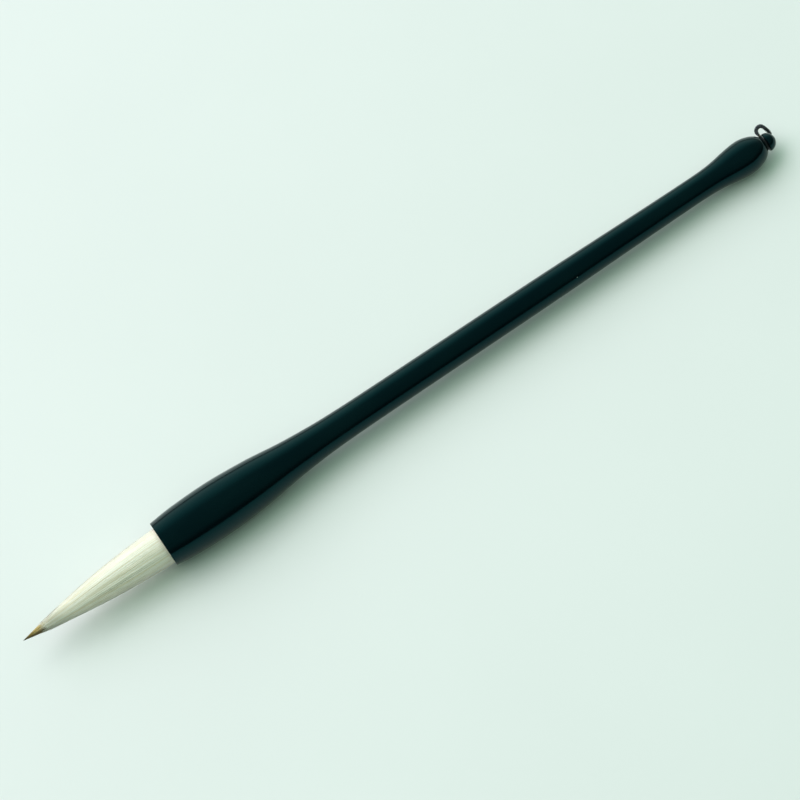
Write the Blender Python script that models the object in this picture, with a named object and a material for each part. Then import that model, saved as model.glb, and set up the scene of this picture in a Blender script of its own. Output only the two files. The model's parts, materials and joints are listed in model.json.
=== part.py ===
"""Calligraphy brush lying along X: hair point towards -X, hanging knob towards +X, in metres, +Z up.

The brush is drawn from the plane of the handle's mouth: x is 0 there, negative along the exposed hair
and positive along the handle. The brush_axis empty carries every piece into the model's own frame,
whose origin is under the middle of the brush, on the surface that the widest part of the head touches.
"""

import math

import bmesh
import bpy
from mathutils import Matrix, Vector

MM = 0.001

# Hair bundle: a core, a short lining and a cover, layer on layer
HAIR_EXPOSED = 41.0 * MM
HAIR_DIAMETER = 9.84 * MM
HAIR_ROOT_DEPTH = 12.0 * MM
COVER_THICKNESS = 1.22 * MM
COVER_SHORTFALL = 5.0 * MM
LINING_THICKNESS = 1.4 * MM
LINING_LENGTH = 15.0 * MM
LINING_FEATHER = 0.3 * MM
HAIR_GAP = 0.1 * MM

# Thread windings round the hair root, each in a waist of the hair
THREAD_DIAMETER = 0.4 * MM
THREAD_TURNS = 6
THREAD_PROUD = 0.1 * MM
THREAD_GAP = 0.05 * MM
BINDING_FROM_ROOT = 1.6 * MM

# Rosin cake on the root end
SEAL_THICKNESS = 1.5 * MM
SEAL_DOME = 0.5 * MM
SEAL_CLEARANCE = 0.9 * MM

# Handle
SOCKET_CLEARANCE = 0.33 * MM
MOUTH_WALL = 0.8 * MM
RIM_BEVEL = 0.08 * MM
FLARE_SWELL = 0.825 * MM
FLARE_FROM_MOUTH = 15.0 * MM
SHAFT_FROM_MOUTH = 60.0 * MM
SHAFT_DIAMETER = 7.86 * MM
WAIST_FROM_TAIL = 19.0 * MM
SHAFT_END_DIAMETER = 6.5 * MM
BULB_FROM_TAIL = 5.8 * MM
BULB_DIAMETER = 9.25 * MM
BULB_ROUNDING = 6.6 * MM
TAIL_LAND = 0.24 * MM
HANDLE_LENGTH = 178.1 * MM

# Knob, neck and peg
KNOB_RADIUS = 2.4 * MM
KNOB_CENTRE_FROM_BASE = 0.2 * MM
KNOB_LIP = 0.35 * MM
NECK_DIAMETER = 2.3 * MM
PEG_LENGTH = 8.0 * MM
PEG_TAPER = 0.3 * MM
BORE_CLEARANCE = 0.15 * MM
SEAT_GAP = 0.3 * MM

# Hanging cord
CORD_DIAMETER = 0.65 * MM
CORD_GAP = 0.05 * MM
WRAP_START = 315.0
WRAP_END = 85.0
WRAP_STEPS = 12

# Form of the outlines: how full the tuft is, how its point thins, how the inner layers draw in
TUFT_FULLNESS = 2.0
TUFT_ROUNDING = 0.98
TUFT_THINNING = 0.12
CORE_DRAW = 1.4
LINING_DRAW = 1.5
DRILL_POINT = 0.35

# Handle outline between its named diameters: (share of the length, share of the swell)
HEAD_RISE = [(0.4, 0.72)]
HEAD_FALL = [(0.25, 0.79), (0.51, 0.32), (0.77, 0.06)]
SHAFT_TAPER = [(0.5, 0.72)]
BULB_RISE = [(0.38, 0.17), (0.68, 0.66)]

# Facets: a multiple of 4 keeps the brush square to its frame, resting on flats
SIDES = 24
FACET_HALF_ANGLE = math.pi / SIDES

WAIST_DEPTH = THREAD_DIAMETER + THREAD_GAP - THREAD_PROUD
LINING_DIAMETER = HAIR_DIAMETER - 2 * COVER_THICKNESS
CORE_DIAMETER = LINING_DIAMETER - 2 * LINING_THICKNESS
SOCKET_DIAMETER = HAIR_DIAMETER + 2 * SOCKET_CLEARANCE
SOCKET_DEPTH = HAIR_ROOT_DEPTH + HAIR_GAP + SEAL_THICKNESS + SEAL_CLEARANCE
MOUTH_DIAMETER = SOCKET_DIAMETER + 2 * MOUTH_WALL
FLARE_DIAMETER = MOUTH_DIAMETER + 2 * FLARE_SWELL
GROOVE_WIDTH = CORD_DIAMETER + 2 * CORD_GAP
KNOB_BASE = HANDLE_LENGTH + GROOVE_WIDTH
KNOB_CENTRE = KNOB_BASE + KNOB_CENTRE_FROM_BASE
KNOB_END = KNOB_CENTRE + KNOB_RADIUS
NECK_MIDDLE = HANDLE_LENGTH + GROOVE_WIDTH / 2
CORD_RING_RADIUS = NECK_DIAMETER / 2 + CORD_GAP + CORD_DIAMETER / 2
AXIS_HEIGHT = FLARE_DIAMETER / 2 * math.cos(FACET_HALF_ANGLE)


def clear_scene():
    for item in list(bpy.data.objects):
        bpy.data.objects.remove(item, do_unlink=True)


def finish_material(name, colour, roughness, metallic=0.0):
    material = bpy.data.materials.new(name)
    material.use_nodes = True
    shader = material.node_tree.nodes["Principled BSDF"]
    shader.inputs["Base Color"].default_value = (*colour, 1.0)
    shader.inputs["Roughness"].default_value = roughness
    shader.inputs["Metallic"].default_value = metallic
    return material


def place(item, parent, material):
    bpy.context.scene.collection.objects.link(item)
    item.parent = parent
    item.data.materials.append(material)
    return item


def smooth_through(stations, steps):
    """Points on a curve through (x, radius) stations that never swings past a station."""
    xs = [x for x, _ in stations]
    rs = [r for _, r in stations]
    rise = [(rs[i + 1] - rs[i]) / (xs[i + 1] - xs[i]) for i in range(len(xs) - 1)]
    slopes = [rise[0]]
    for before, after in zip(rise, rise[1:]):
        slopes.append(0.0 if before * after <= 0 else 2 * before * after / (before + after))
    slopes.append(rise[-1])
    points = []
    for i in range(len(xs) - 1):
        span = xs[i + 1] - xs[i]
        for k in range(steps):
            t = k / steps
            radius = (
                (1 + 2 * t) * (1 - t) ** 2 * rs[i]
                + t * (1 - t) ** 2 * span * slopes[i]
                + t * t * (3 - 2 * t) * rs[i + 1]
                + t * t * (t - 1) * span * slopes[i + 1]
            )
            points.append((xs[i] + span * t, radius))
    return points + [stations[-1]]


def arc(centre_x, centre_r, half_length, height, start, end, steps):
    """Points on an ellipse: start and end are angles from +X, in degrees."""
    angles = [math.radians(start + (end - start) * k / steps) for k in range(steps + 1)]
    return [
        (centre_x + half_length * math.cos(a), centre_r + height * math.sin(a)) for a in angles
    ]


def turned(name, outline, parent, material):
    """Solid of revolution round X. The outline runs from pole to pole, or is a closed ring."""
    mesh = bpy.data.meshes.new(name)
    shape = bmesh.new()
    lean = Matrix.Rotation(FACET_HALF_ANGLE, 4, "X")
    verts = [shape.verts.new(lean @ Vector((x, 0.0, radius))) for x, radius in outline]
    edges = [shape.edges.new(pair) for pair in zip(verts, verts[1:])]
    if outline[0][1] > 0.0:
        edges.append(shape.edges.new((verts[-1], verts[0])))
    bmesh.ops.spin(
        shape,
        geom=verts + edges,
        cent=(0.0, 0.0, 0.0),
        axis=(1.0, 0.0, 0.0),
        angle=2 * math.pi,
        steps=SIDES,
        use_merge=True,
    )
    bmesh.ops.remove_doubles(shape, verts=shape.verts, dist=1e-6)
    bmesh.ops.recalc_face_normals(shape, faces=shape.faces)
    shape.to_mesh(mesh)
    shape.free()
    mesh.shade_smooth()
    mesh.set_sharp_from_angle(angle=math.radians(35))
    return place(bpy.data.objects.new(name, mesh), parent, material)


def bundle_radius(x):
    """Outer radius of the hair bundle: a long, slightly full cone that ends in a point."""
    share = min(max(-x / HAIR_EXPOSED, 0.0), 1.0)
    return HAIR_DIAMETER / 2 * (1 - share**TUFT_FULLNESS) ** TUFT_ROUNDING * (1 - TUFT_THINNING * share)


def drawn_in(x, length, root, end, draw):
    """Radius of an inner layer: straight in the root, then changing ever faster to its far end."""
    share = min(max(-x / length, 0.0), 1.0)
    return root + (end - root) * share**draw


def core_radius(x):
    """Radius of the core inside the cover, down to the opening where its point comes out."""
    inside_mouth = bundle_radius(-HAIR_EXPOSED + COVER_SHORTFALL) - 2.5 * HAIR_GAP
    return drawn_in(x, HAIR_EXPOSED - COVER_SHORTFALL, CORE_DIAMETER / 2, inside_mouth, CORE_DRAW)


def lining_radius(x):
    """Outer radius of the lining: full in the root, feathered out to the core at its far end."""
    thin = core_radius(-LINING_LENGTH) + LINING_FEATHER
    return drawn_in(x, LINING_LENGTH, LINING_DIAMETER / 2, thin, LINING_DRAW)


def spread(start, end, steps):
    return [start + (end - start) * k / steps for k in range(steps + 1)]


def binding_span():
    """Where the thread lies along the root."""
    end = HAIR_ROOT_DEPTH - BINDING_FROM_ROOT
    return end - THREAD_TURNS * THREAD_DIAMETER, end


def root_outline(radius):
    """Outside of a layer's root: straight, with the waist that its thread draws in."""
    waist_start, waist_end = binding_span()
    return [
        (waist_start - WAIST_DEPTH, radius),
        (waist_start, radius - WAIST_DEPTH),
        (waist_end, radius - WAIST_DEPTH),
        (waist_end + WAIST_DEPTH, radius),
        (HAIR_ROOT_DEPTH, radius),
    ]


def winding(name, start, inner_radius, parent, material):
    """Turns of thread lying side by side, as one ring whose outside shows every turn."""
    thread = THREAD_DIAMETER / 2
    outline = [(start, inner_radius)]
    for turn in range(THREAD_TURNS):
        middle = start + (2 * turn + 1) * thread
        outline += arc(middle, inner_radius + thread, thread, thread, 150, 30, 3)
    outline.append((start + THREAD_TURNS * THREAD_DIAMETER, inner_radius))
    return turned(name, outline, parent, material)


def stretch(start, end, start_radius, end_radius, shares):
    """Stations between two named ones, each at a share of the length and of the change in radius."""
    return [
        (start + length * (end - start), end_radius + swell * (start_radius - end_radius))
        for length, swell in shares
    ]


def make_handle(parent, material):
    mouth = MOUTH_DIAMETER / 2
    socket = SOCKET_DIAMETER / 2
    flare = FLARE_DIAMETER / 2
    shaft = SHAFT_DIAMETER / 2
    slim = SHAFT_END_DIAMETER / 2
    bulb = BULB_DIAMETER / 2
    bulb_middle = HANDLE_LENGTH - BULB_FROM_TAIL
    shaft_end = HANDLE_LENGTH - WAIST_FROM_TAIL
    stations = [(RIM_BEVEL, mouth)]
    stations += [(x * FLARE_FROM_MOUTH, mouth + swell * (flare - mouth)) for x, swell in HEAD_RISE]
    stations.append((FLARE_FROM_MOUTH, flare))
    stations += stretch(FLARE_FROM_MOUTH, SHAFT_FROM_MOUTH, flare, shaft, HEAD_FALL)
    stations.append((SHAFT_FROM_MOUTH, shaft))
    stations += stretch(SHAFT_FROM_MOUTH, shaft_end, shaft, slim, SHAFT_TAPER)
    stations.append((shaft_end, slim))
    stations += [
        (shaft_end + x * (bulb_middle - shaft_end), slim + swell * (bulb - slim))
        for x, swell in BULB_RISE
    ]
    stations.append((bulb_middle, bulb))
    outline = [(0.0, mouth - RIM_BEVEL)] + smooth_through(stations, 3)
    tail = math.degrees(math.acos(min((BULB_FROM_TAIL - RIM_BEVEL) / BULB_ROUNDING, 1.0)))
    outline += arc(bulb_middle, 0.0, BULB_ROUNDING, bulb, 90, tail, 7)[1:]
    outline.append((HANDLE_LENGTH, outline[-1][1] - TAIL_LAND))
    bore = NECK_DIAMETER / 2 + BORE_CLEARANCE
    bore_end = HANDLE_LENGTH - PEG_LENGTH - SEAT_GAP
    outline += [(HANDLE_LENGTH, bore), (bore_end, bore), (bore_end - DRILL_POINT * bore, 0.0)]
    inside = [(SOCKET_DEPTH + DRILL_POINT * socket, 0.0), (SOCKET_DEPTH, socket), (0.0, socket)]
    return turned("handle", inside + outline, parent, material)


def make_cover(parent, material):
    """White outer hairs: a sleeve that is open at the root and where the core's point comes out."""
    tip = -HAIR_EXPOSED + COVER_SHORTFALL
    outside = [(x, bundle_radius(x)) for x in spread(tip, 0.0, 9)]
    outside += root_outline(HAIR_DIAMETER / 2)
    root_bore = LINING_DIAMETER / 2 + THREAD_PROUD + HAIR_GAP
    inside = [(HAIR_ROOT_DEPTH, root_bore), (0.0, root_bore)]
    inside += [
        (x, lining_radius(x) + HAIR_GAP) for x in spread(-0.3 * LINING_LENGTH, -LINING_LENGTH, 4)
    ]
    inside += [
        (x, core_radius(x) + HAIR_GAP) for x in spread(-LINING_LENGTH - 2 * HAIR_GAP, tip, 5)
    ]
    return turned("cover_hair", outside + inside, parent, material)


def make_lining(parent, material):
    """Shorter filler hairs round the core, with a waist at the root for the inner thread."""
    outside = [(x, lining_radius(x)) for x in spread(-LINING_LENGTH, 0.0, 5)]
    outside += root_outline(LINING_DIAMETER / 2)
    inside = [(x, core_radius(x) + HAIR_GAP) for x in spread(HAIR_ROOT_DEPTH, -LINING_LENGTH, 6)]
    return turned("lining_hair", outside + inside, parent, material)


def make_core(parent, material):
    """Stiff core hairs: a slim column whose last stretch is the point of the brush."""
    mouth = -HAIR_EXPOSED + COVER_SHORTFALL
    root = CORE_DIAMETER / 2
    outline = [(HAIR_ROOT_DEPTH, 0.0), (HAIR_ROOT_DEPTH, root), (0.0, root)]
    outline += [(x, core_radius(x)) for x in spread(-0.15 * HAIR_EXPOSED, mouth, 6)]
    outline += [
        (x, bundle_radius(x) - HAIR_GAP / 2) for x in spread(mouth - HAIR_GAP, -HAIR_EXPOSED, 6)[:-1]
    ]
    outline.append((-HAIR_EXPOSED, 0.0))
    return turned("core_hair", outline, parent, material)


def make_bindings(parent, material):
    """The inner thread ties the lining and the core, and the outer one ties the whole bundle."""
    start, _ = binding_span()
    sunk = THREAD_DIAMETER - THREAD_PROUD
    winding("core_binding", start, LINING_DIAMETER / 2 - sunk, parent, material)
    winding("cover_binding", start, HAIR_DIAMETER / 2 - sunk, parent, material)


def make_seal(parent, material):
    """Cake of rosin that soaks the root end, a shallow dome against the socket's bottom."""
    front = HAIR_ROOT_DEPTH + HAIR_GAP
    back = front + SEAL_THICKNESS - SEAL_DOME
    radius = HAIR_DIAMETER / 2
    outline = [(front, 0.0), (front, radius)]
    outline += arc(back, 0.0, SEAL_DOME, radius, 90, 0, 4)[:-1]
    outline.append((back + SEAL_DOME, 0.0))
    return turned("root_seal", outline, parent, material)


def make_knob(parent, material):
    """Round button, its neck in the groove and its peg in the tail bore, turned from one piece."""
    neck = NECK_DIAMETER / 2
    peg_end = HANDLE_LENGTH - PEG_LENGTH
    outline = [(peg_end, 0.0), (peg_end, neck - PEG_TAPER), (peg_end + PEG_TAPER, neck)]
    outline.append((KNOB_BASE, neck))
    edge = KNOB_RADIUS - KNOB_LIP
    outline += arc(KNOB_BASE + KNOB_LIP, edge, KNOB_LIP, KNOB_LIP, 180, 110, 3)
    start = math.degrees(math.acos((KNOB_LIP - KNOB_CENTRE_FROM_BASE) / KNOB_RADIUS))
    outline += arc(KNOB_CENTRE, 0.0, KNOB_RADIUS, KNOB_RADIUS, start, 0, 8)[:-1]
    outline.append((KNOB_END, 0.0))
    return turned("end_knob", outline, parent, material)


def cord_route():
    """The ring of cord round the neck: it wraps the neck, then stands out on the +Y side and
    goes round the knob's end. Places are from the middle of the neck, in millimetres."""
    wrap = []
    for degrees in spread(WRAP_START, WRAP_END, WRAP_STEPS):
        turn = math.radians(degrees)
        wrap.append(CORD_RING_RADIUS * Vector((0.0, math.cos(turn), math.sin(turn))))
    ring = [
        (0.00, 1.14, 1.54),
        (-0.08, 2.13, 1.56),
        (0.15, 3.28, 1.62),
        (1.10, 3.98, 1.34),
        (2.17, 4.13, 0.65),
        (2.95, 3.35, -0.50),
        (3.25, 2.52, -1.42),
        (2.90, 2.16, -1.93),
        (1.95, 2.16, -2.12),
        (0.85, 2.42, -1.86),
        (0.08, 2.34, -1.36),
        (-0.02, 1.66, -0.92),
    ]
    return wrap + [Vector(point) * MM for point in ring]


def smooth_ring(points, steps):
    """Points on a closed, smooth curve through the given ones."""
    count = len(points)
    route = []
    for i in range(count):
        before, here = points[i - 1], points[i]
        after, beyond = points[(i + 1) % count], points[(i + 2) % count]
        for k in range(steps):
            t = k / steps
            route.append(
                0.5
                * (
                    2 * here
                    + (after - before) * t
                    + (2 * before - 5 * here + 4 * after - beyond) * t**2
                    + (3 * here - before - 3 * after + beyond) * t**3
                )
            )
    return route


def make_loop(parent, material):
    """Hanging cord, drawn about the neck's middle, which is on its joint's axis."""
    route = smooth_ring(cord_route(), 3)
    curve = bpy.data.curves.new("hanging_loop", "CURVE")
    curve.dimensions = "3D"
    curve.bevel_depth = CORD_DIAMETER / 2
    curve.bevel_resolution = 2
    spline = curve.splines.new("POLY")
    spline.points.add(len(route) - 1)
    for point, place_at in zip(spline.points, route):
        point.co = (*place_at, 1.0)
    spline.use_cyclic_u = True
    loop = place(bpy.data.objects.new("hanging_loop", curve), parent, material)
    loop.location = (NECK_MIDDLE, 0.0, 0.0)
    return loop


def build():
    clear_scene()
    cord_reach = max(point.x for point in cord_route()) + CORD_DIAMETER / 2
    tail_end = max(KNOB_END, NECK_MIDDLE + cord_reach)
    axis = bpy.data.objects.new("brush_axis", None)
    axis.location = ((HAIR_EXPOSED - tail_end) / 2, 0.0, AXIS_HEIGHT)
    bpy.context.scene.collection.objects.link(axis)

    lacquer = finish_material("black_green_lacquer", (0.008, 0.022, 0.020), 0.12)
    white_hair = finish_material("white_hair", (0.86, 0.85, 0.78), 0.55)
    brown_hair = finish_material("brown_hair", (0.45, 0.27, 0.10), 0.5)
    thread = finish_material("linen_thread", (0.72, 0.66, 0.52), 0.8)
    rosin = finish_material("rosin", (0.42, 0.22, 0.06), 0.25)
    cord = finish_material("black_cord", (0.05, 0.05, 0.055), 0.6)

    make_handle(axis, lacquer)
    make_cover(axis, white_hair)
    make_lining(axis, white_hair)
    make_core(axis, brown_hair)
    make_bindings(axis, thread)
    make_seal(axis, rosin)
    make_knob(axis, lacquer)
    make_loop(axis, cord)


build()
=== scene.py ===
"""Calligraphy brush lying on a pale table: white pointed hair, lacquered handle, cord ring at the tail.

Lengths are in metres. Places along the brush are measured from the plane of the handle's mouth: negative
in the hair, positive in the handle. at() turns them into places in the frame.
"""

import json
import math
import random

import bmesh
import bpy
from mathutils import Matrix, Vector, noise


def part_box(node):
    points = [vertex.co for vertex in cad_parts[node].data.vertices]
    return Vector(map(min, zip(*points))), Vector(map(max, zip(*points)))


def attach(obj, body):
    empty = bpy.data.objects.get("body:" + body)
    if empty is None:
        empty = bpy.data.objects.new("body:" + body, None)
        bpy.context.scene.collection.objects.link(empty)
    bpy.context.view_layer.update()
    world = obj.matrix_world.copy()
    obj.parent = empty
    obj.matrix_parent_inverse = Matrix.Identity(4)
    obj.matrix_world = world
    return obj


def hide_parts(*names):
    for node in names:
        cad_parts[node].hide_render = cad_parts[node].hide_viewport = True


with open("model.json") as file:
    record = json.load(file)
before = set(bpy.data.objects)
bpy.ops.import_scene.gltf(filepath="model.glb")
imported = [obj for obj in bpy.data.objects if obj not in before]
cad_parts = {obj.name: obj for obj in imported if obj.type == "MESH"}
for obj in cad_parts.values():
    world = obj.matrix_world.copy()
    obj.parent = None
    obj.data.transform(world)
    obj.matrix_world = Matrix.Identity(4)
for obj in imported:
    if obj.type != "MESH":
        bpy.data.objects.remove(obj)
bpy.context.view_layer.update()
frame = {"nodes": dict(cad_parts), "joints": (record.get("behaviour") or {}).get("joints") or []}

MM = 0.001

# Camera: its way from the mouth, its step to the side, the place it aims at, and its lens
CAMERA_WAY = Vector((0.0, -0.5, math.sqrt(0.75)))
CAMERA_DISTANCE = 0.732
CAMERA_SIDE_STEP = -2.70 * MM
AIM_FROM_MOUTH = 67.5 * MM
PICTURE_TURN = math.atan2(0.55483, 0.83196)
SENSOR_WIDTH_MM = 36.0
LENS_MM = 135.135

# Places that the frame gives
HANDLE_LOW, HANDLE_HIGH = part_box("handle")
MOUTH_X = HANDLE_LOW[0]
HANDLE_LENGTH = HANDLE_HIGH[0] - MOUTH_X
HAIR_EXPOSED = MOUTH_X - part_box("core_hair")[0][0]
HAIR_ROOT_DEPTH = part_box("cover_hair")[1][0] - MOUTH_X
KNOB_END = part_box("end_knob")[1][0] - MOUTH_X
NECK = Vector(frame["joints"][0]["pos_m"])

# Handle
MOUTH_RADIUS = 6.05 * MM
SOCKET_RADIUS = 5.25 * MM
SOCKET_DEPTH = 14.5 * MM
FLARE_RADIUS = 6.875 * MM
FLARE_FROM_MOUTH = 15.0 * MM
SHAFT_FROM_MOUTH = 60.0 * MM
SHAFT_RADIUS = 3.93 * MM
WAIST_FROM_TAIL = 19.0 * MM
SHAFT_END_RADIUS = 3.25 * MM
BULB_FROM_TAIL = 5.8 * MM
BULB_RADIUS = 4.625 * MM
BULB_ROUNDING = 6.6 * MM
TAIL_LAND = 0.24 * MM
TAIL_EDGE = 0.1 * MM
RIM_ROUNDING = 0.14 * MM
OUTLINE_STEP = 0.6 * MM
EASING_REACH = 3.0 * MM
DRILL_POINT = 0.35
HANDLE_SIDES = 128

# Handle outline between its named radii: (share of the length, share of the swell)
HEAD_RISE = [(0.4, 0.72)]
HEAD_FALL = [(0.25, 0.79), (0.51, 0.32), (0.77, 0.06)]
SHAFT_TAPER = [(0.5, 0.72)]
BULB_RISE = [(0.38, 0.17), (0.68, 0.66)]

# Knob and neck
KNOB_RADIUS = 2.4 * MM
KNOB_LIP = 0.35 * MM
KNOB_CENTRE_FROM_BASE = 0.2 * MM
KNOB_SIDES = 96
NECK_RADIUS = 1.15 * MM
PEG_LENGTH = 8.0 * MM
PEG_TAPER = 0.3 * MM
PEG_CLEARANCE = 0.15 * MM
SEAT_GAP = 0.3 * MM

# Hair bundle: its outline, its white sleeve, its amber core, and how it sags
HAIR_RADIUS = 4.87 * MM
TUFT_FULLNESS = 2.0
TUFT_ROUNDING = 0.98
TUFT_THINNING = 0.12
COVER_SHORTFALL = 6.6 * MM
COVER_WALL = 1.1 * MM
COVER_HOLLOW = 0.72
COVER_SKIN = 0.9
SLEEVE_SIDES = 180
BINDING_WAIST = 0.35 * MM
WAIST_START = 8.0 * MM
WAIST_END = 10.4 * MM
CORE_ROOT_RADIUS = 2.3 * MM
CORE_SHARE = 0.62
CORE_OVERLAP = 1.8 * MM
POINT_SHARE = 0.91
POINT_BLUNTING = 0.1 * MM
COLUMN_SIDES = 64
HAIR_BED = 0.02 * MM
CLUMP_DEPTH = 0.05 * MM
MOUTH_SAG = 0.34 * MM
POINT_SAG = 0.60 * MM
SAG_WAY = Vector((0.0, -0.866, -0.5))
SAG_STARTS = 6.0 * MM

# Loose hairs. Ends are how far from the point: the nearest, the furthest and the usual one
COVER_HAIRS = 460
COVER_HAIR_START = 1.5 * MM
COVER_HAIR_ENDS_MM = (4.7, 8.0, 5.8)
COVER_HAIR_LIFT_MM = (-0.05, 0.0)
COVER_HAIR_DIVES_MM = (-0.18, -0.05, 0.0, 0.0, 0.03, 0.05)
COVER_HAIR_RADIUS_MM = (0.030, 0.055)
COVER_HAIR_THINNING = 0.45
COVER_HAIR_FLATNESS = 0.5
CORE_HAIRS = 170
CORE_HAIR_RADIUS_MM = (0.028, 0.042)
CORE_HAIR_THINNING = 0.75
CORE_HAIR_PLACE = 0.96

# Cord
CORD_RADIUS = 0.325 * MM
CORD_RING_RADIUS = 1.525 * MM
PLIES = 3
PLY_RADIUS = 0.165 * MM
TWIST_PITCH = 1.5 * MM
CORD_SWELL = 0.60
SWELL_STARTS = 2.5 * MM
SWELL_REACH = 0.7 * MM
CORD_RINGS = 300
CORD_SIDES = 10
FRAYED_FIBRES = 26
FIBRE_RADIUS = 0.028 * MM

# Table and lights
TABLE_HALF_WIDTH = 6.0
LIGHTS_AIM_FROM_MOUTH = 60.0 * MM


def at(x, y=0.0, z=0.0):
    """A place beside the brush's axis, x from the mouth."""
    return Vector((MOUTH_X + x, NECK.y + y, NECK.z + z))


# ---------------------------------------------------------------- camera


def make_camera():
    """Looks down at the brush from in front, over its mouth, turned so the tail points up to the right."""
    across = CAMERA_WAY.cross(Vector((1.0, 0.0, 0.0)))
    eye = at(0.0) + CAMERA_DISTANCE * CAMERA_WAY + CAMERA_SIDE_STEP * across
    aim = at(AIM_FROM_MOUTH) + CAMERA_SIDE_STEP * across
    look = (aim - eye).normalized()
    level = across.cross(-look)
    right = math.cos(PICTURE_TURN) * level - math.sin(PICTURE_TURN) * across
    up = math.sin(PICTURE_TURN) * level + math.cos(PICTURE_TURN) * across
    data = bpy.data.cameras.new("camera")
    data.sensor_width = SENSOR_WIDTH_MM
    data.lens = LENS_MM
    data.clip_start = 0.05
    data.clip_end = 20.0
    camera = bpy.data.objects.new("camera", data)
    turn = Matrix((right, up, -look)).transposed().to_4x4()
    camera.matrix_world = Matrix.Translation(eye) @ turn
    bpy.context.scene.collection.objects.link(camera)
    bpy.context.scene.camera = camera


# ---------------------------------------------------------------- shared mesh work


def finish_piece(shape, name, material, body, nodes, sharp=35.0):
    """Turns a bmesh into a piece that rides on a body and stands for its CAD nodes."""
    mesh = bpy.data.meshes.new(name)
    shape.to_mesh(mesh)
    shape.free()
    mesh.shade_smooth()
    mesh.set_sharp_from_angle(angle=math.radians(sharp))
    mesh.materials.append(material)
    piece = bpy.data.objects.new(name, mesh)
    bpy.context.scene.collection.objects.link(piece)
    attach(piece, body)
    if nodes:
        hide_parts(*nodes)
    return piece


def spun(outline, sides):
    """Solid of revolution round the brush's axis. The outline runs pole to pole, or is a closed ring."""
    shape = bmesh.new()
    verts = [shape.verts.new(at(x, 0.0, radius)) for x, radius in outline]
    edges = [shape.edges.new(pair) for pair in zip(verts, verts[1:])]
    if outline[0][1] > 0.0:
        edges.append(shape.edges.new((verts[-1], verts[0])))
    bmesh.ops.spin(
        shape,
        geom=verts + edges,
        cent=at(0.0),
        axis=(1.0, 0.0, 0.0),
        angle=2 * math.pi,
        steps=sides,
        use_merge=True,
    )
    bmesh.ops.remove_doubles(shape, verts=shape.verts, dist=1e-6)
    bmesh.ops.recalc_face_normals(shape, faces=shape.faces)
    return shape


def arc(centre_x, centre_r, half_length, height, start, end, steps):
    """Points on an ellipse: start and end are angles from +X, in degrees."""
    angles = [math.radians(start + (end - start) * k / steps) for k in range(steps + 1)]
    return [
        (centre_x + half_length * math.cos(a), centre_r + height * math.sin(a)) for a in angles
    ]


def spread(start, end, steps):
    return [start + (end - start) * k / steps for k in range(steps + 1)]


def through(stations):
    """A radius for any x, on a curve through (x, radius) stations that never swings past one."""
    xs = [x for x, _ in stations]
    rs = [r for _, r in stations]
    rise = [(rs[i + 1] - rs[i]) / (xs[i + 1] - xs[i]) for i in range(len(xs) - 1)]
    slopes = [rise[0]]
    for before, after in zip(rise, rise[1:]):
        slopes.append(0.0 if before * after <= 0 else 2 * before * after / (before + after))
    slopes.append(rise[-1])

    def radius(x):
        x = min(max(x, xs[0]), xs[-1])
        i = max(k for k in range(len(xs) - 1) if k == 0 or xs[k] <= x)
        span = xs[i + 1] - xs[i]
        t = (x - xs[i]) / span
        return (
            (1 + 2 * t) * (1 - t) ** 2 * rs[i]
            + t * (1 - t) ** 2 * span * slopes[i]
            + t * t * (3 - 2 * t) * rs[i + 1]
            + t * t * (t - 1) * span * slopes[i + 1]
        )

    return radius


# ---------------------------------------------------------------- materials


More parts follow.
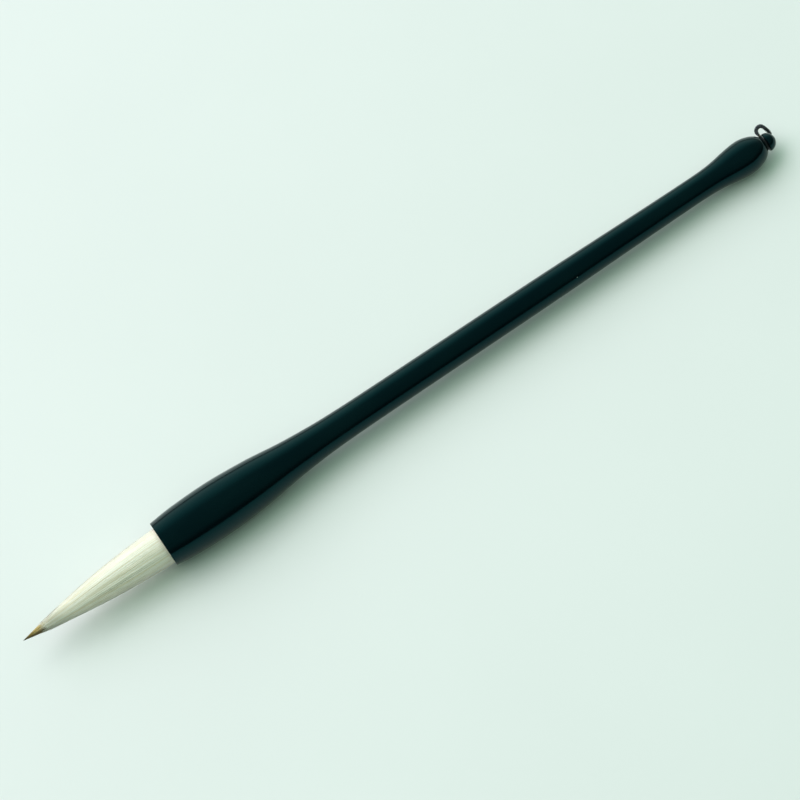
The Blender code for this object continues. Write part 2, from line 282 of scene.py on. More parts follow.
class Paint:
    """A Principled material and short ways to add nodes to it."""

    def __init__(self, name, **settings):
        self.material = bpy.data.materials.new(name)
        self.material.use_nodes = True
        self.tree = self.material.node_tree
        self.shader = self.tree.nodes["Principled BSDF"]
        for socket, value in settings.items():
            self.shader.inputs[socket.replace("_", " ")].default_value = value
        self.place = self.tree.nodes.new("ShaderNodeTexCoord").outputs["Object"]

    def add(self, kind, sockets=None, **settings):
        node = self.tree.nodes.new("ShaderNode" + kind)
        for key, value in settings.items():
            setattr(node, key, value)
        for socket, value in (sockets or {}).items():
            self.feed(node.inputs[socket], value)
        return node

    def feed(self, socket, value):
        if isinstance(value, bpy.types.NodeSocket):
            self.tree.links.new(value, socket)
        else:
            socket.default_value = value

    def link(self, socket, value):
        self.feed(self.shader.inputs[socket], value)

    def moved(self, scale, origin=(0.0, 0.0, 0.0)):
        """Object coordinates from an origin, stretched by a scale on each axis."""
        node = self.add("Mapping", {"Vector": self.place}, vector_type="TEXTURE")
        node.inputs["Location"].default_value = origin
        node.inputs["Scale"].default_value = tuple(1 / s for s in scale)
        return node.outputs["Vector"]

    def noise(self, vector, scale=1.0, detail=3.0, roughness=0.5):
        node = self.add(
            "TexNoise", {"Vector": vector, "Scale": scale, "Detail": detail, "Roughness": roughness}
        )
        return node.outputs["Fac"]

    def spread(self, value, low, high, to_low=0.0, to_high=1.0):
        node = self.add(
            "MapRange",
            {"Value": value, "From Min": low, "From Max": high, "To Min": to_low, "To Max": to_high},
            interpolation_type="SMOOTHSTEP",
        )
        return node.outputs["Result"]

    def mix(self, share, first, second, blend="MIX"):
        node = self.add("Mix", data_type="RGBA", blend_type=blend)
        self.feed(node.inputs["Factor"], share)
        for index, value in ((6, first), (7, second)):
            self.feed(node.inputs[index], value if isinstance(value, bpy.types.NodeSocket) else (*value, 1.0))
        return node.outputs[2]

    def maths(self, operation, first, second=0.0, third=0.0):
        node = self.add("Math", operation=operation)
        for index, value in enumerate((first, second, third)):
            self.feed(node.inputs[index], value)
        return node.outputs["Value"]

    def bump(self, height, distance, strength=1.0, below=None):
        sockets = {"Height": height, "Distance": distance, "Strength": strength}
        if below is not None:
            sockets["Normal"] = below
        return self.add("Bump", sockets).outputs["Normal"]

    def from_bundle_middle(self):
        """Place measured from the middle line of the hair bundle, which sags towards its point."""
        centred = self.moved((1.0, 1.0, 1.0), at(0.0))
        x = self.add("SeparateXYZ", {"Vector": centred}).outputs["X"]
        share = self.maths("DIVIDE", self.maths("MINIMUM", x, 0.0), -HAIR_EXPOSED)
        square = self.maths("MULTIPLY", share, share)
        sag = self.maths("MULTIPLY_ADD", square, POINT_SAG - MOUTH_SAG, MOUTH_SAG)
        offset = self.add("VectorMath", {0: SAG_WAY, "Scale": sag}, operation="SCALE")
        both = self.add("VectorMath", {0: centred, 1: offset.outputs["Vector"]}, operation="SUBTRACT")
        return both.outputs["Vector"]

    def across(self, place):
        """A place with its X left out."""
        return self.add("VectorMath", {0: place, 1: (0.0, 1.0, 1.0)}, operation="MULTIPLY").outputs["Vector"]

    def rounded_normal(self, share):
        """The surface's normal, drawn towards straight out from the bundle, as many hairs scatter light."""
        flat = self.across(self.from_bundle_middle())
        out = self.add("VectorMath", {0: flat}, operation="NORMALIZE")
        own = self.add("NewGeometry").outputs["Normal"]
        both = self.add("Mix", data_type="VECTOR")
        self.feed(both.inputs["Factor"], share)
        self.feed(both.inputs[4], own)
        self.feed(both.inputs[5], out.outputs["Vector"])
        return self.add("VectorMath", {0: both.outputs[1]}, operation="NORMALIZE").outputs["Vector"]

    def round_the_axis(self, lengthwise, around):
        """Coordinates that run along the bundle and round it, so a streak narrows where the shape does."""
        centred = self.from_bundle_middle()
        ring = self.add("VectorMath", {0: self.across(centred)}, operation="NORMALIZE")
        wide = self.add(
            "VectorMath", {0: ring.outputs["Vector"], 1: (0.0, around, around)}, operation="MULTIPLY"
        )
        along = self.add(
            "VectorMath", {0: centred, 1: (lengthwise, 0.0, 0.0)}, operation="MULTIPLY"
        )
        both = self.add(
            "VectorMath", {0: wide.outputs["Vector"], 1: along.outputs["Vector"]}, operation="ADD"
        )
        return both.outputs["Vector"]


def lacquer():
    """Black-green lacquer over turned wood: deep gloss, faint orange peel, a few specks of dust."""
    paint = Paint("lacquer", IOR=1.40, Specular_Tint=(0.08, 0.62, 0.70, 1.0))
    depth = paint.noise(paint.moved((40.0, 160.0, 160.0)), detail=4.0)
    colour = paint.mix(
        paint.spread(depth, 0.3, 0.7), (0.0008, 0.0036, 0.0052), (0.0016, 0.0062, 0.0074)
    )
    cells = paint.add("TexVoronoi", {"Vector": paint.place, "Scale": 260.0}, feature="F1")
    chance = paint.add("SeparateColor", {"Color": cells.outputs["Color"]}).outputs["Red"]
    near = paint.spread(cells.outputs["Distance"], 0.030, 0.052, 1.0, 0.0)
    dust = paint.maths("MULTIPLY", near, paint.maths("GREATER_THAN", chance, 0.93))
    paint.link("Base Color", paint.mix(dust, colour, (0.30, 0.36, 0.33)))
    smear = paint.noise(paint.moved((90.0, 420.0, 420.0)), detail=5.0, roughness=0.6)
    gloss = paint.spread(smear, 0.3, 0.75, 0.10, 0.17)
    paint.link("Roughness", paint.maths("ADD", gloss, paint.maths("MULTIPLY", dust, 0.5)))
    peel = paint.noise(paint.place, scale=420.0, detail=2.0)
    paint.link("Normal", paint.bump(peel, 0.00002, 0.35))
    return paint.material


def hair_paint(name, shades, socket_painted_shade, tip_shades, roughness, underside_painted_shade=0.0):
    """Hair seen as streaks. shades are its dark and light streaks, and tip_shades are where each
    further shade starts and is full, and its colour. The last argument is how strongly painted shade
    darkens the under side, away from the light, towards dark brown."""
    paint = Paint(name, Roughness=roughness, IOR=1.45)
    fine = paint.noise(paint.round_the_axis(34.0, 36.0), detail=2.0, roughness=0.6)
    broad = paint.noise(paint.round_the_axis(16.0, 13.0), detail=1.0)
    streak = paint.maths("MULTIPLY_ADD", fine, 0.7, paint.maths("MULTIPLY", broad, 0.3))
    colour = paint.mix(paint.spread(streak, 0.40, 0.54), *shades)
    x = paint.add("SeparateXYZ", {"Vector": paint.moved((1.0, 1.0, 1.0), at(0.0))}).outputs["X"]
    ragged = paint.maths("MULTIPLY_ADD", fine, 3.0 * MM, paint.maths("SUBTRACT", x, 1.5 * MM))
    # Painted shade: the hair darkens where it goes into the socket at the handle's mouth.
    colour = paint.mix(paint.spread(x, -1.5 * MM, 0.5 * MM), colour, socket_painted_shade)
    for start, end, shade in tip_shades:
        colour = paint.mix(paint.spread(ragged, end, start, 1.0, 0.0), colour, shade)
    # Painted shade: the bundle's under side, away from the light, is darkened towards dark brown.
    if underside_painted_shade:
        across = paint.add("VectorMath", {0: paint.from_bundle_middle(), 1: SAG_WAY}, operation="DOT_PRODUCT")
        below = paint.spread(across.outputs["Value"], -0.3 * MM, 0.4 * MM, 0.0, underside_painted_shade)
        colour = paint.mix(below, colour, (0.10, 0.06, 0.02))
    paint.link("Base Color", colour)
    paint.link("Normal", paint.bump(streak, 0.00028, 0.7, paint.rounded_normal(0.9)))
    return paint.material


def white_hair():
    return hair_paint(
        "white_hair",
        ((0.82, 0.71, 0.51), (1.0, 0.955, 0.85)),
        (0.90, 0.83, 0.68),
        [(-35.6 * MM, -36.6 * MM, (0.90, 0.80, 0.52))],
        0.55,
    )


def amber_hair():
    return hair_paint(
        "amber_hair",
        ((0.36, 0.23, 0.06), (0.92, 0.68, 0.27)),
        (0.42, 0.30, 0.12),
        [(-36.8 * MM, -38.6 * MM, (0.30, 0.20, 0.05)), (-38.8 * MM, -40.6 * MM, (0.10, 0.065, 0.025))],
        0.38,
        0.85,
    )


def thread_paint():
    """Waxed linen thread, seen as turns with a slanting twist."""
    paint = Paint("linen_thread", Roughness=0.75)
    fibre = paint.noise(paint.moved((1400.0, 500.0, 500.0)), detail=4.0)
    colour = paint.mix(paint.spread(fibre, 0.3, 0.7), (0.50, 0.42, 0.27), (0.80, 0.73, 0.56))
    paint.link("Base Color", colour)
    paint.link("Normal", paint.bump(fibre, 0.00008, 0.8))
    return paint.material


def rosin_paint():
    """Amber rosin with darker clouds and a half-glossy skin."""
    paint = Paint("rosin", IOR=1.54)
    clouds = paint.noise(paint.place, scale=380.0, detail=4.0)
    colour = paint.mix(paint.spread(clouds, 0.3, 0.7), (0.22, 0.09, 0.02), (0.55, 0.30, 0.08))
    paint.link("Base Color", colour)
    paint.link("Roughness", paint.spread(clouds, 0.2, 0.8, 0.18, 0.45))
    paint.link("Normal", paint.bump(clouds, 0.0001, 0.4))
    return paint.material


def cord_paint():
    """Black cord whose free plies catch a grey sheen, and whose winding down in the groove is darkened to
    near black with painted shade.
    """
    paint = Paint("black_cord", Roughness=0.5)
    paint.link("Sheen Weight", 0.22)
    paint.link("Sheen Roughness", 0.35)
    fibre = paint.noise(paint.place, scale=2600.0, detail=4.0, roughness=0.6)
    colour = paint.mix(paint.spread(fibre, 0.42, 0.66), (0.003, 0.004, 0.005), (0.120, 0.120, 0.150))
    beside_neck = paint.across(paint.moved((1.0, 1.0, 1.0), NECK))
    reach = paint.add("VectorMath", {0: beside_neck}, operation="LENGTH").outputs["Value"]
    # Painted shade: the cord close round the neck, down in the groove, is darkened to near black.
    groove_painted_shade = paint.spread(reach, 2.0 * MM, 2.8 * MM, 0.9, 0.0)
    paint.link("Base Color", paint.mix(groove_painted_shade, colour, (0.001, 0.003, 0.004)))
    paint.link("Normal", paint.bump(fibre, 0.00004, 0.8))
    return paint.material


def tan_fibre():
    """Singed, unravelled cord end."""
    paint = Paint("tan_fibre", Roughness=0.7)
    fibre = paint.noise(paint.place, scale=6000.0, detail=2.0)
    colour = paint.mix(paint.spread(fibre, 0.3, 0.7), (0.22, 0.14, 0.07), (0.62, 0.48, 0.30))
    paint.link("Base Color", colour)
    paint.link("Normal", paint.bump(fibre, 0.00003, 0.5))
    return paint.material


def table_paint():
    """Pale matt table top, faintly mottled."""
    paint = Paint("pale_table", Roughness=0.7)
    cloud = paint.noise(paint.place, scale=9.0, detail=3.0)
    paint.link(
        "Base Color", paint.mix(paint.spread(cloud, 0.3, 0.7), (0.715, 0.720, 0.715), (0.730, 0.735, 0.730))
    )
    paint.link("Specular IOR Level", 0.2)
    return paint.material


# ---------------------------------------------------------------- handle and knob


def handle_radius():
    """Outer radius of the handle for any x, eased so its reflections run without a kink."""
    bulb_middle = HANDLE_LENGTH - BULB_FROM_TAIL
    shaft_end = HANDLE_LENGTH - WAIST_FROM_TAIL
    legs = [
        (0.0, FLARE_FROM_MOUTH, MOUTH_RADIUS, FLARE_RADIUS, HEAD_RISE),
        (FLARE_FROM_MOUTH, SHAFT_FROM_MOUTH, SHAFT_RADIUS, FLARE_RADIUS, HEAD_FALL),
        (SHAFT_FROM_MOUTH, shaft_end, SHAFT_END_RADIUS, SHAFT_RADIUS, SHAFT_TAPER),
        (shaft_end, bulb_middle, SHAFT_END_RADIUS, BULB_RADIUS, BULB_RISE),
    ]
    stations = [(0.0, MOUTH_RADIUS)]
    ends = (FLARE_RADIUS, SHAFT_RADIUS, SHAFT_END_RADIUS, BULB_RADIUS)
    for (start, end, low, high, shares), radius in zip(legs, ends):
        stations += [(start + x * (end - start), low + swell * (high - low)) for x, swell in shares]
        stations.append((end, radius))
    body = through(stations)

    def plain(x):
        if x <= bulb_middle:
            return body(x)
        return BULB_RADIUS * math.sqrt(max(1 - ((x - bulb_middle) / BULB_ROUNDING) ** 2, 0.0))

    def eased(x):
        reach = min(EASING_REACH, x - RIM_ROUNDING, HANDLE_LENGTH - x)
        if reach <= 0:
            return plain(x)
        steps = [k / 6 for k in range(-6, 7)]
        weights = [1 - 0.99 * s * s for s in steps]
        return sum(w * plain(x + s * reach) for s, w in zip(steps, weights)) / sum(weights)

    return eased


def make_handle(material):
    radius = handle_radius()
    tail = HANDLE_LENGTH - TAIL_EDGE
    mouth = radius(RIM_ROUNDING) - RIM_ROUNDING
    steps = round((tail - RIM_ROUNDING) / OUTLINE_STEP)
    outline = arc(RIM_ROUNDING, mouth, RIM_ROUNDING, RIM_ROUNDING, 180, 90, 4)[:-1]
    outline += [(x, radius(x)) for x in spread(RIM_ROUNDING, tail, steps)]
    land = radius(tail) - TAIL_LAND
    outline.append((HANDLE_LENGTH, land))
    bore = NECK_RADIUS + PEG_CLEARANCE
    bore_end = HANDLE_LENGTH - PEG_LENGTH - SEAT_GAP
    outline += [(HANDLE_LENGTH, bore), (bore_end, bore), (bore_end - DRILL_POINT * bore, 0.0)]
    inside = [(SOCKET_DEPTH + DRILL_POINT * SOCKET_RADIUS, 0.0), (SOCKET_DEPTH, SOCKET_RADIUS)]
    inside += arc(RIM_ROUNDING, SOCKET_RADIUS + RIM_ROUNDING, RIM_ROUNDING, RIM_ROUNDING, 270, 180, 3)
    shape = spun(inside + outline, HANDLE_SIDES)
    finish_piece(shape, "lacquered_handle", material, "brush", ["handle"])


def make_knob(material):
    """Round button, its neck in the groove and its peg in the tail's bore."""
    base = KNOB_END - KNOB_RADIUS - KNOB_CENTRE_FROM_BASE
    centre = KNOB_END - KNOB_RADIUS
    peg_end = HANDLE_LENGTH - PEG_LENGTH
    outline = [(peg_end, 0.0), (peg_end, NECK_RADIUS - PEG_TAPER), (peg_end + PEG_TAPER, NECK_RADIUS)]
    outline += [(base, NECK_RADIUS)]
    outline += arc(base + KNOB_LIP, KNOB_RADIUS - KNOB_LIP, KNOB_LIP, KNOB_LIP, 180, 105, 8)
    start = math.degrees(math.acos((KNOB_LIP - KNOB_CENTRE_FROM_BASE) / KNOB_RADIUS))
    outline += arc(centre, 0.0, KNOB_RADIUS, KNOB_RADIUS, start, 0, 28)[:-1]
    outline.append((KNOB_END, 0.0))
    shape = spun(outline, KNOB_SIDES)
    finish_piece(shape, "lacquered_knob", material, "brush", ["end_knob"])


# ---------------------------------------------------------------- hair


def tuft_radius(x):
    """Outer radius of the bundle: a long, slightly full cone that ends in a point."""
    share = min(max(-x / HAIR_EXPOSED, 0.0), 1.0)
    return HAIR_RADIUS * (1 - share**TUFT_FULLNESS) ** TUFT_ROUNDING * (1 - TUFT_THINNING * share)


def clump(x, turn):
    """How far the surface stands in or out where hairs lie in clumps, from about -1 to 1."""
    y, z = math.cos(turn), math.sin(turn)
    broad = noise.noise(Vector((7.0 * y, 7.0 * z, 30.0 * x)))
    narrow = noise.noise(Vector((19.0 * y, 19.0 * z, 55.0 * x + 4.0)))
    return broad + 0.6 * narrow


def clumped_radius(x, turn):
    radius = tuft_radius(x)
    return radius + CLUMP_DEPTH * clump(x, turn) * radius / HAIR_RADIUS


def settle(bundle):
    """Lets the bundle down onto the near edge of the socket, and lets it sag towards its point."""
    for vert in bundle.verts:
        x = vert.co.x - MOUTH_X
        if x < 0.0:
            sag = MOUTH_SAG + (POINT_SAG - MOUTH_SAG) * (x / HAIR_EXPOSED) ** 2
        else:
            sag = MOUTH_SAG * max(1.0 - x / SAG_STARTS, 0.0)
        vert.co += sag * SAG_WAY


def straight_hair(rings, sides):
    """Pattern for one hair: unit length along X, unit radius, closed at both ends."""
    hair = bmesh.new()
    lie_down = Matrix.Translation((0.5, 0.0, 0.0)) @ Matrix.Rotation(math.pi / 2, 4, "Y")
    bmesh.ops.create_cone(
        hair, cap_ends=True, segments=sides, radius1=1.0, radius2=1.0, depth=1.0, matrix=lie_down
    )
    lengthwise = [e for e in hair.edges if abs(e.verts[0].co.x - e.verts[1].co.x) > 0.5]
    bmesh.ops.subdivide_edges(hair, edges=lengthwise, cuts=rings)
    pattern = bpy.data.meshes.new("straight_hair")
    hair.to_mesh(pattern)
    hair.free()
    return pattern


def join(shape, added):
    """Puts one bmesh into another and frees it."""
    mesh = bpy.data.meshes.new("added")
    added.to_mesh(mesh)
    added.free()
    shape.from_mesh(mesh)
    bpy.data.meshes.remove(mesh)


def lay_hair(bundle, pattern, middle, thickness, flat=1.0):
    """Adds one hair: middle gives its place and thickness its radius, from 0 at the root to 1."""
    first = len(bundle.verts)
    bundle.from_mesh(pattern)
    bundle.verts.ensure_lookup_table()
    for vert in bundle.verts[first:]:
        share = vert.co.x
        centre = middle(share)
        out = Vector((0.0, centre.y - NECK.y, centre.z - NECK.z)).normalized()
        side = Vector((0.0, -out.z, out.y))
        vert.co = centre + thickness(share) * (vert.co.y * side + flat * vert.co.z * out)


def hair_course(start, end, turn, drift, lift, dive):
    """The middle line of a hair on the bundle's surface, which drifts round it and at its end dives in,
    or stands off where dive is negative."""

    def middle(share):
        x = start + (end - start) * share
        angle = turn + drift * math.sin(math.pi * share)
        sink = dive * max(0.0, (share - 0.75) / 0.25) ** 2
        radius = max(clumped_radius(x, angle) + lift - sink, 0.0)
        return at(x, radius * math.cos(angle), radius * math.sin(angle))

    return middle


def make_cover(material):
    """White outer hairs: a clumped sleeve, open at the root and at the point, under loose hairs."""
    tip = -HAIR_EXPOSED + COVER_SHORTFALL
    waist = HAIR_RADIUS - BINDING_WAIST
    outside = [(x, tuft_radius(x)) for x in spread(tip, 0.0, 60)]
    outside += [
        (WAIST_START - BINDING_WAIST, HAIR_RADIUS),
        (WAIST_START, waist),
        (WAIST_END, waist),
        (WAIST_END + BINDING_WAIST, HAIR_RADIUS),
        (HAIR_ROOT_DEPTH, HAIR_RADIUS),
    ]
    inside = [
        (x, max(tuft_radius(x) - COVER_WALL, COVER_HOLLOW * tuft_radius(x)))
        for x in spread(HAIR_ROOT_DEPTH, tip, 30)
    ]
    sleeve = spun(outside + inside, SLEEVE_SIDES)
    for vert in sleeve.verts:
        x = vert.co.x - MOUTH_X
        across = Vector((0.0, vert.co.y - NECK.y, vert.co.z - NECK.z))
        if x < 0.0 and across.length > COVER_SKIN * tuft_radius(x):
            turn = math.atan2(across.z, across.y)
            vert.co += across.normalized() * (clumped_radius(x, turn) - tuft_radius(x) - HAIR_BED)
    bundle = bmesh.new()
    pattern = straight_hair(15, 5)
    chance = random.Random(11)
    for index in range(COVER_HAIRS):
        turn = 2 * math.pi * (index + chance.uniform(-0.5, 0.5)) / COVER_HAIRS
        end = -HAIR_EXPOSED + chance.triangular(*COVER_HAIR_ENDS_MM) * MM
        course = hair_course(
            COVER_HAIR_START,
            end,
            turn,
            drift=chance.gauss(0.0, 0.02),
            lift=chance.uniform(*COVER_HAIR_LIFT_MM) * MM,
            dive=chance.choice(COVER_HAIR_DIVES_MM) * MM,
        )
        thick = chance.uniform(*COVER_HAIR_RADIUS_MM) * MM
        lay_hair(
            bundle,
            pattern,
            course,
            lambda share: thick * (1 - COVER_HAIR_THINNING * share),
            COVER_HAIR_FLATNESS,
        )
    join(bundle, sleeve)
    settle(bundle)
    finish_piece(bundle, "white_cover_hair", material, "brush", ["cover_hair"])


def make_core(material):
    """Amber core: a smooth column whose last stretch is the point, under fine hairs that end in it."""
    bare = -HAIR_EXPOSED + COVER_SHORTFALL + CORE_OVERLAP
    outline = [(HAIR_ROOT_DEPTH, 0.0), (HAIR_ROOT_DEPTH, CORE_ROOT_RADIUS), (0.0, CORE_ROOT_RADIUS)]
    outline += [(x, CORE_SHARE * tuft_radius(x)) for x in spread(-20.0 * MM, bare, 10)]
    outline += [
        (x, POINT_SHARE * tuft_radius(x) - HAIR_BED)
        for x in spread(bare - 1.0 * MM, -HAIR_EXPOSED, 30)[:-2]
    ]
    outline.append((-HAIR_EXPOSED + POINT_BLUNTING, 0.0))
    column = spun(outline, COLUMN_SIDES)
    bundle = bmesh.new()
    pattern = straight_hair(11, 5)
    chance = random.Random(23)
    for index in range(CORE_HAIRS):
        turn = 2 * math.pi * (index + chance.uniform(-0.5, 0.5)) / CORE_HAIRS
        start = bare + chance.uniform(-1.0, 2.0) * MM
        end = -HAIR_EXPOSED + abs(chance.gauss(0.0, 0.9)) * MM
        thick = chance.uniform(*CORE_HAIR_RADIUS_MM) * MM

        def middle(share):
            x = start + (end - start) * share
            radius = CORE_HAIR_PLACE * tuft_radius(x)
            return at(x, radius * math.cos(turn), radius * math.sin(turn))

        lay_hair(bundle, pattern, middle, lambda share: thick * (1 - CORE_HAIR_THINNING * share))
    join(bundle, column)
    settle(bundle)
    finish_piece(bundle, "amber_core_hair", material, "brush", ["core_hair"])


# ---------------------------------------------------------------- cord


def cord_route():
    """The ring of cord round the neck: it wraps the neck, then stands out on the +Y side and goes
    round the knob's end. Places are from the middle of the neck."""
    wrap = []
    for degrees in spread(315.0, 85.0, 12):
        turn = math.radians(degrees)
        wrap.append(CORD_RING_RADIUS * Vector((0.0, math.cos(turn), math.sin(turn))))
    ring = [
        (0.00, 1.14, 1.54),
        (-0.08, 2.13, 1.56),
        (0.12, 3.38, 1.66),
        (1.10, 4.22, 1.38),
        (2.22, 4.32, 0.66),
        (2.95, 3.35, -0.50),
        (3.25, 2.52, -1.42),
        (2.90, 2.16, -1.93),
        (1.95, 2.16, -2.12),
        (0.85, 2.42, -1.86),
        (0.08, 2.34, -1.36),
        (-0.02, 1.66, -0.92),
    ]
    return wrap + [Vector(point) * MM for point in ring]


def smooth_ring(points, steps):
    """Points on a closed, smooth curve through the given ones."""
    count = len(points)
    route = []
    for i in range(count):
        before, here = points[i - 1], points[i]
        after, beyond = points[(i + 1) % count], points[(i + 2) % count]
        for k in range(steps):
            t = k / steps
            route.append(
                0.5
                * (
                    2 * here
                    + (after - before) * t
                    + (2 * before - 5 * here + 4 * after - beyond) * t**2
                    + (3 * here - before - 3 * after + beyond) * t**3
                )
            )
    return route


def even_ring(points, count):
    """The same closed curve with its points an equal way apart."""
    lengths = [0.0]
    for i in range(len(points)):
        lengths.append(lengths[-1] + (points[(i + 1) % len(points)] - points[i]).length)
    spaced = []
    i = 0
    for k in range(count):
        want = lengths[-1] * k / count
        while lengths[i + 1] < want:
            i += 1
        t = (want - lengths[i]) / (lengths[i + 1] - lengths[i])
        spaced.append(points[i].lerp(points[(i + 1) % len(points)], t))
    return spaced, lengths[-1]


def ring_sides(points):
    """Two directions across a closed curve at each point, which turn no more than they have to."""
    count = len(points)
    tangents = [(points[(i + 1) % count] - points[i - 1]).normalized() for i in range(count)]
    side = tangents[0].orthogonal().normalized()
    sides = [side]
    for i in range(1, count + 1):
        tangent = tangents[i % count]
        side = (side - side.dot(tangent) * tangent).normalized()
        sides.append(side)
    left_over = math.atan2(
        tangents[0].dot(sides[0].cross(sides[-1])), sides[0].dot(sides[-1])
    )
    frames = []
    for i in range(count):
        turn = Matrix.Rotation(-left_over * i / count, 3, tangents[i])
        side = turn @ sides[i]
        frames.append((side, tangents[i].cross(side)))
    return frames


def make_cord(material):
    """Three plies twisted into a ring, each a closed tube that winds round the cord's middle line.

    They are looser, so the cord is thicker, where it is clear of the neck.
    """
    points, length = even_ring(smooth_ring(cord_route(), 12), CORD_RINGS)
    frames = ring_sides(points)
    turns = round(length / TWIST_PITCH)
    pattern_radius = 10.0
    shape = bmesh.new()
    for ply in range(PLIES):
        tube = bmesh.new()
        verts = bmesh.ops.create_circle(
            tube,
            segments=CORD_SIDES,
            radius=1.0,
            matrix=Matrix.Translation((pattern_radius, 0.0, 0.0)) @ Matrix.Rotation(math.pi / 2, 4, "X"),
        )["verts"]
        bmesh.ops.spin(
            tube,
            geom=verts + list(tube.edges),
            cent=(0.0, 0.0, 0.0),
            axis=(0.0, 0.0, 1.0),
            angle=2 * math.pi,
            steps=CORD_RINGS,
            use_merge=True,
        )
        for vert in tube.verts:
            i = round(math.atan2(vert.co.y, vert.co.x) / (2 * math.pi) * CORD_RINGS) % CORD_RINGS
            out, up = math.hypot(vert.co.x, vert.co.y) - pattern_radius, vert.co.z
            side, other = frames[i]
            beside_neck = math.hypot(points[i].y, points[i].z)
            free = min(max((beside_neck - SWELL_STARTS) / SWELL_REACH, 0.0), 1.0)
            swell = 1.0 + CORD_SWELL * free * free * (3 - 2 * free)
            angle = 2 * math.pi * (turns * i / CORD_RINGS + ply / PLIES)
            outward = math.cos(angle) * side + math.sin(angle) * other
            sideways = math.cos(angle) * other - math.sin(angle) * side
            centre = points[i] + swell * (CORD_RADIUS - PLY_RADIUS) * outward
            vert.co = NECK + centre + swell * PLY_RADIUS * (out * outward + up * sideways)
        bmesh.ops.remove_doubles(tube, verts=tube.verts, dist=1e-7)
        bmesh.ops.recalc_face_normals(tube, faces=tube.faces)
        join(shape, tube)
    finish_piece(shape, "twisted_cord_ring", material, "loop", ["hanging_loop"], 60.0)


def make_cord_end(material):
    """Frayed, singed end of the cord, standing out of the winding beside the knob."""
    root = Vector((0.05, 1.38, 1.66)) * MM
    way = Vector((0.10, 0.55, 0.72)).normalized()
    chance = random.Random(5)
    pattern = straight_hair(5, 5)
    bundle = bmesh.new()
    for _ in range(FRAYED_FIBRES):
        splay = Vector((chance.gauss(0, 0.2), chance.gauss(0, 0.2), chance.gauss(0, 0.2)))
        length = chance.uniform(0.40, 0.75) * MM
        start = root + Vector([chance.gauss(0.0, 0.06) * MM for _ in range(3)])

        def middle(share):
            return NECK + start + length * share * (way + splay * share)

        lay_hair(bundle, pattern, middle, lambda share: FIBRE_RADIUS * (1 - 0.5 * share))
    finish_piece(bundle, "frayed_cord_end", material, "loop", [])


# ---------------------------------------------------------------- carried-over pieces, table and light


def paint_hidden_nodes(hair, thread, rosin):
    """The lining, the two windings and the rosin stay as the frame has them."""
    finishes = {
        "lining_hair": hair,
        "core_binding": thread,
        "cover_binding": thread,
        "root_seal": rosin,
    }
    for node, material in finishes.items():
        slots = frame["nodes"][node].material_slots
        for slot in slots:
            slot.material = material


def make_table(material):
    """The table leans a little under the brush, which rests on its head and its bulb."""
    head = at(FLARE_FROM_MOUTH, 0.0, -FLARE_RADIUS)
    tail = at(HANDLE_LENGTH - BULB_FROM_TAIL, 0.0, -BULB_RADIUS)
    slope = math.atan2(tail.z - head.z, tail.x - head.x)
    top = bmesh.new()
    lean = Matrix.Translation(head) @ Matrix.Rotation(-slope, 4, "Y")
    bmesh.ops.create_grid(top, x_segments=8, y_segments=8, size=TABLE_HALF_WIDTH, matrix=lean)
    mesh = bpy.data.meshes.new("table")
    top.to_mesh(mesh)
    top.free()
    mesh.materials.append(material)
    table = bpy.data.objects.new("table", mesh)
    bpy.context.scene.collection.objects.link(table)


def make_soft_box(name, bearing, elevation, distance, width, height, power, colour):
    """An area light that faces the brush and has no mirror image. Bearing is from +Y to +X, in degrees."""
    around, up = math.radians(bearing), math.radians(elevation)
    way = Vector(
        (math.sin(around) * math.cos(up), math.cos(around) * math.cos(up), math.sin(up))
    )
    data = bpy.data.lights.new(name, "AREA")
    data.shape = "RECTANGLE"
    data.size = width
    data.size_y = height
    data.energy = power
    data.color = colour
    light = bpy.data.objects.new(name, data)
    light.location = at(LIGHTS_AIM_FROM_MOUTH) + distance * way
    light.rotation_euler = (-way).to_track_quat("-Z", "Y").to_euler()
    light.visible_glossy = False
    bpy.context.scene.collection.objects.link(light)


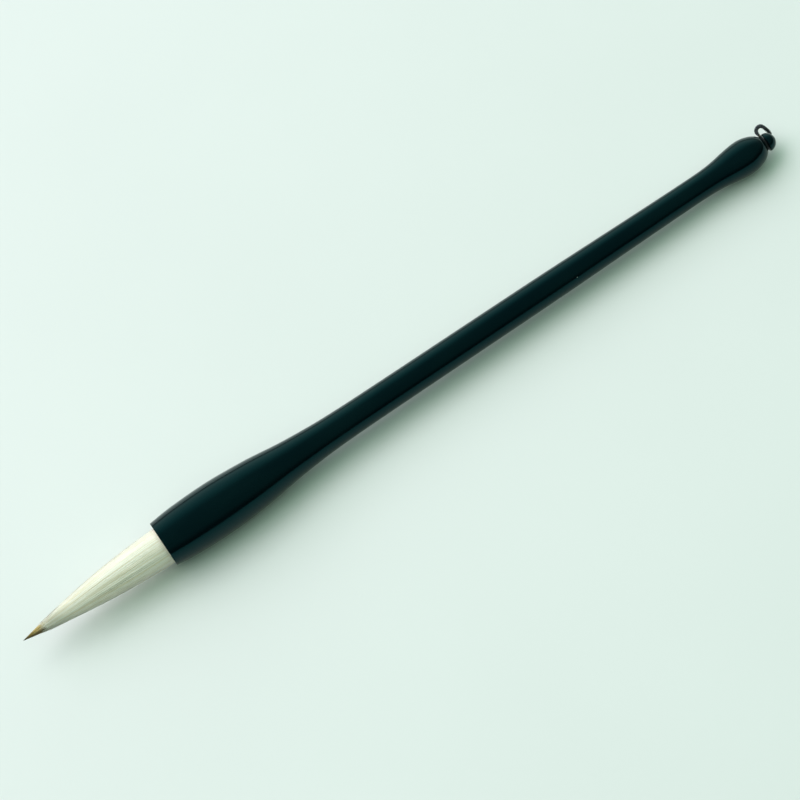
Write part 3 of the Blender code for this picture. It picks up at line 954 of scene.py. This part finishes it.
def make_world():
    """Dim room: pale on the window side, dark on the other side and low down in front, behind a chair."""
    world = bpy.data.worlds.new("dim_room")
    world.use_nodes = True
    bpy.context.scene.world = world
    tree = world.node_tree
    background = tree.nodes["Background"]
    way = tree.nodes.new("ShaderNodeTexCoord").outputs["Generated"]
    split = tree.nodes.new("ShaderNodeSeparateXYZ")
    tree.links.new(way, split.inputs["Vector"])

    def ramp(value, low, high, to_low, to_high):
        node = tree.nodes.new("ShaderNodeMapRange")
        node.interpolation_type = "SMOOTHSTEP"
        for name, setting in (
            ("From Min", low), ("From Max", high), ("To Min", to_low), ("To Max", to_high)
        ):
            node.inputs[name].default_value = setting
        tree.links.new(value, node.inputs["Value"])
        return node.outputs["Result"]

    def maths(operation, first, second):
        node = tree.nodes.new("ShaderNodeMath")
        node.operation = operation
        tree.links.new(first, node.inputs[0])
        tree.links.new(second, node.inputs[1])
        return node.outputs["Value"]

    window_side = ramp(split.outputs["Y"], 0.15, 0.90, 0.20, 1.0)
    over_sill = ramp(split.outputs["Z"], 0.02, 0.28, 0.15, 1.15)
    over_chair = ramp(split.outputs["Z"], 0.15, 0.55, 0.0, 1.0)
    behind = ramp(split.outputs["Y"], -0.5, 0.1, 0.0, 1.0)
    seen = maths("MAXIMUM", over_chair, behind)
    lit = maths("MULTIPLY", maths("MULTIPLY", window_side, over_sill), seen)
    tree.links.new(lit, background.inputs["Strength"])
    background.inputs["Color"].default_value = (0.74, 1.0, 0.92, 1.0)


# ---------------------------------------------------------------- build

make_camera()
lacquer_finish = lacquer()
white = white_hair()
make_cord(cord_paint())
make_cord_end(tan_fibre())
make_handle(lacquer_finish)
make_knob(lacquer_finish)
make_cover(white)
make_core(amber_hair())
paint_hidden_nodes(white, thread_paint(), rosin_paint())
make_table(table_paint())
make_world()
make_soft_box(
    "window",
    bearing=-38.0,
    elevation=50.0,
    distance=1.3,
    width=2.1,
    height=1.35,
    power=18.6,
    colour=(1.0, 0.832, 0.99),
)
make_soft_box(
    "ceiling",
    bearing=0.0,
    elevation=89.0,
    distance=1.5,
    width=3.0,
    height=3.0,
    power=20.4,
    colour=(0.60, 1.0, 0.68),
)
bpy.context.scene.view_settings.view_transform = "Standard"
